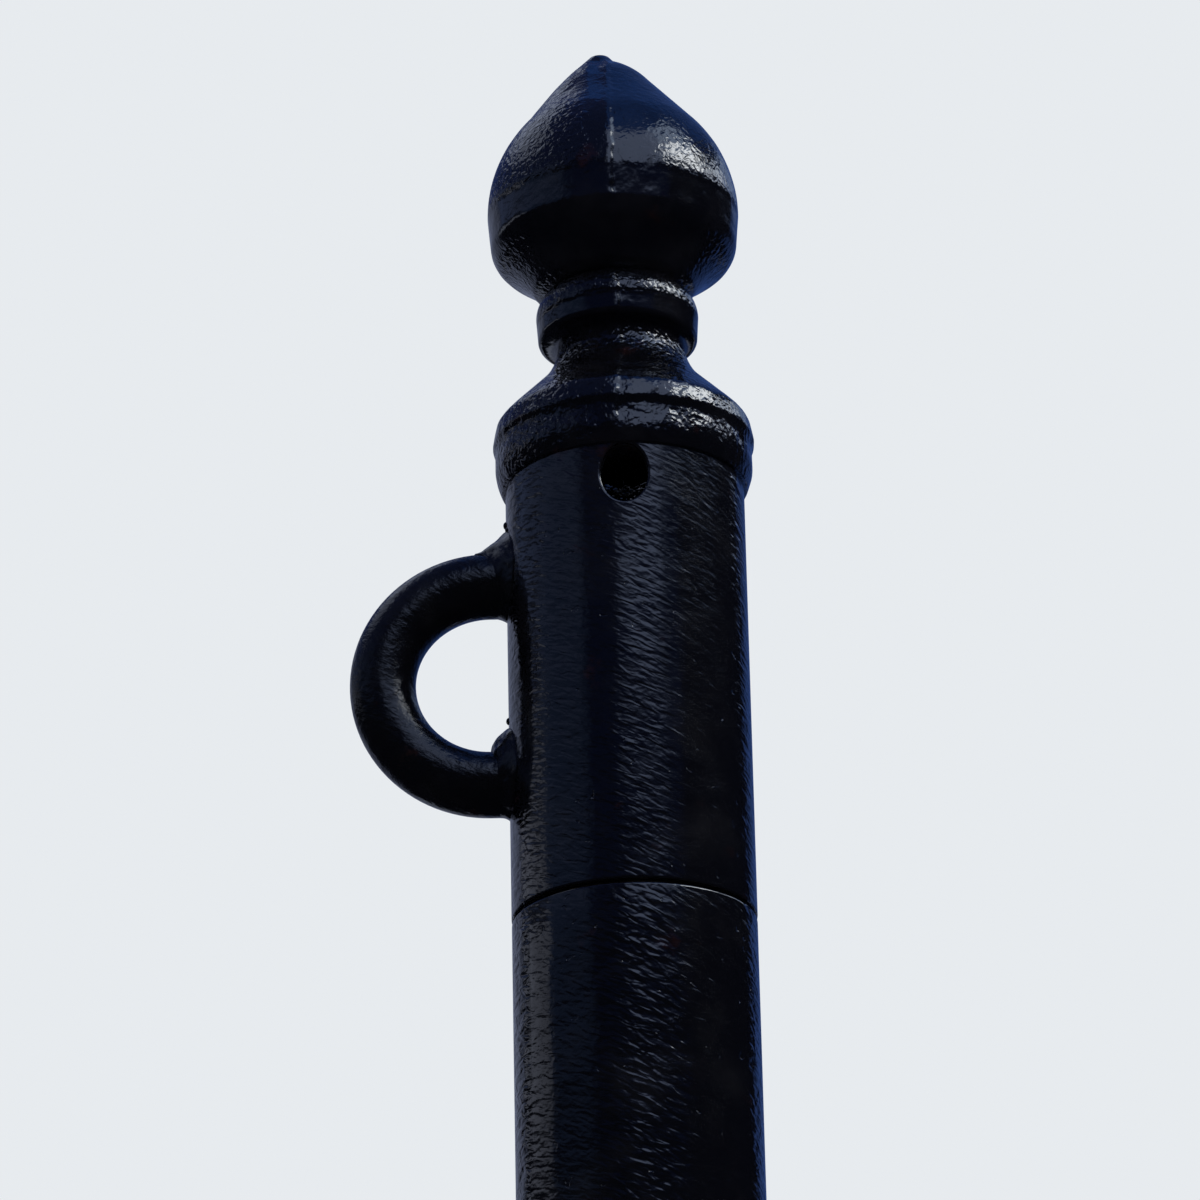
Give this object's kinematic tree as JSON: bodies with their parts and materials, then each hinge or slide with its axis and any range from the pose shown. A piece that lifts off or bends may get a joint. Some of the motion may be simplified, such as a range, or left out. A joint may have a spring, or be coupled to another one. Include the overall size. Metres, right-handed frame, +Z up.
{
  "type": "washing line pole",
  "caption": "Round black steel post with a swivelling top section that carries a welded half-round line ring, a slot through the tube and a spade-shaped cast finial.",
  "frame": {"origin": "centre of the pole tube's open lower end, at ground level", "axes": "+Z up the pole, -X towards the line ring, -Y and +Y through the slot in the head"},
  "size_m": [0.1303, 0.085, 2.3998],
  "materials": {
    "painted_tube": "thick brushed gloss black paint on steel tube",
    "painted_bar": "thick gloss black paint on round bar",
    "painted_weld": "gloss black paint over an uneven weld bead",
    "painted_casting": "thick gloss black paint over a grainy casting",
    "bare_steel": "turned steel with a film of grease"
  },
  "bodies": {
    "pole": {"pole_tube": "painted_tube", "spigot": "bare_steel"},
    "head": {"head_tube": "painted_tube", "line_ring": "painted_bar", "upper_ring_weld": "painted_weld", "lower_ring_weld": "painted_weld", "finial": "painted_casting"}
  },
  "joints": [
    {"name": "head_swivel", "type": "hinge", "parent": "pole", "child": "head", "pos_m": [0, 0, 2.0982], "axis": [0, 0, 1], "continuous": true}
  ]
}
